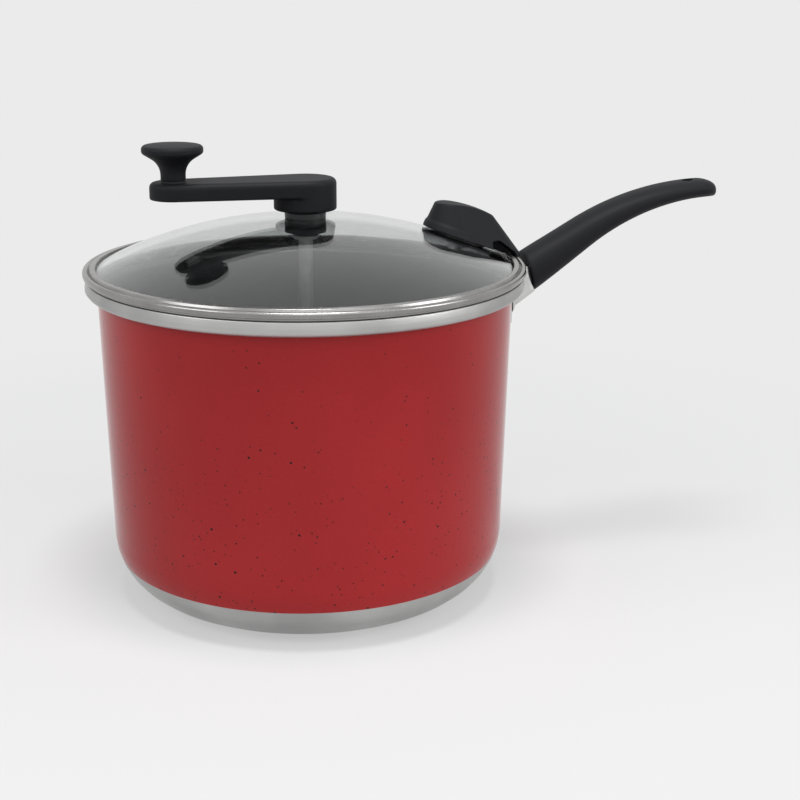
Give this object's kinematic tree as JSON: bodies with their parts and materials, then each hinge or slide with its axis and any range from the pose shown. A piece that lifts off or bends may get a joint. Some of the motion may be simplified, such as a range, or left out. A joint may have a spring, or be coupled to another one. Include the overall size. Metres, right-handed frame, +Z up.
{
  "type": "stovetop popcorn popper",
  "caption": "Stovetop popcorn popper: red enamelled pot with a long handle, domed glass lid with a grip, and a hand crank that turns a wire stirrer.",
  "frame": {"origin": "centre of the flat base, on the stove", "axes": "+Z up, +X along the pot's handle, -X along the crank arm at rest, +Y to the left of the handle"},
  "size_m": [0.366, 0.243, 0.2525],
  "materials": {
    "red_enamel": "glossy red enamel over aluminium sheet",
    "polished_aluminium": "polished",
    "black_phenolic": "satin moulded",
    "tempered_glass": "clear",
    "polished_steel": "polished",
    "plain_steel": "satin",
    "brass": "machined",
    "black_nylon": "moulded",
    "silicone": "matt"
  },
  "bodies": {
    "pot": {"pot_shell": "red_enamel", "handle_bracket": "polished_aluminium", "bracket_rivets": "polished_aluminium", "handle_grip": "black_phenolic", "handle_screw": "plain_steel"},
    "lid": {"lid_glass": "tempered_glass", "lid_rim_band": "polished_steel", "lid_grip": "black_phenolic", "lid_grip_pad": "silicone", "lid_grip_seal": "silicone", "lid_grip_washer": "plain_steel", "lid_grip_screw": "plain_steel", "shaft_bushing": "black_nylon", "bushing_gasket_upper": "silicone", "bushing_gasket_lower": "silicone", "bushing_nut": "black_nylon"},
    "crank": {"thrust_washer": "plain_steel", "crank_arm": "black_phenolic", "hub_insert": "brass", "crank_shaft": "plain_steel", "lower_washer": "plain_steel", "shaft_clip": "plain_steel", "stirrer_hub": "plain_steel", "stirrer_set_screw": "plain_steel", "stirrer_wire": "plain_steel", "knob_stud": "plain_steel", "knob_stud_nut": "plain_steel", "knob_washer": "black_nylon"},
    "knob": {"knob": "black_phenolic", "knob_snap_ring": "plain_steel"}
  },
  "joints": [
    {"name": "lid_lift", "type": "slide", "parent": "pot", "child": "lid", "axis": [0, 0, 1], "range_m": [0, 0.2]},
    {"name": "crank_spin", "type": "hinge", "parent": "lid", "child": "crank", "pos_m": [0, 0, 0.215], "axis": [0, 0, 1], "continuous": true},
    {"name": "knob_spin", "type": "hinge", "parent": "crank", "child": "knob", "pos_m": [-0.0715, 0, 0.2331], "axis": [0, 0, 1], "continuous": true}
  ]
}
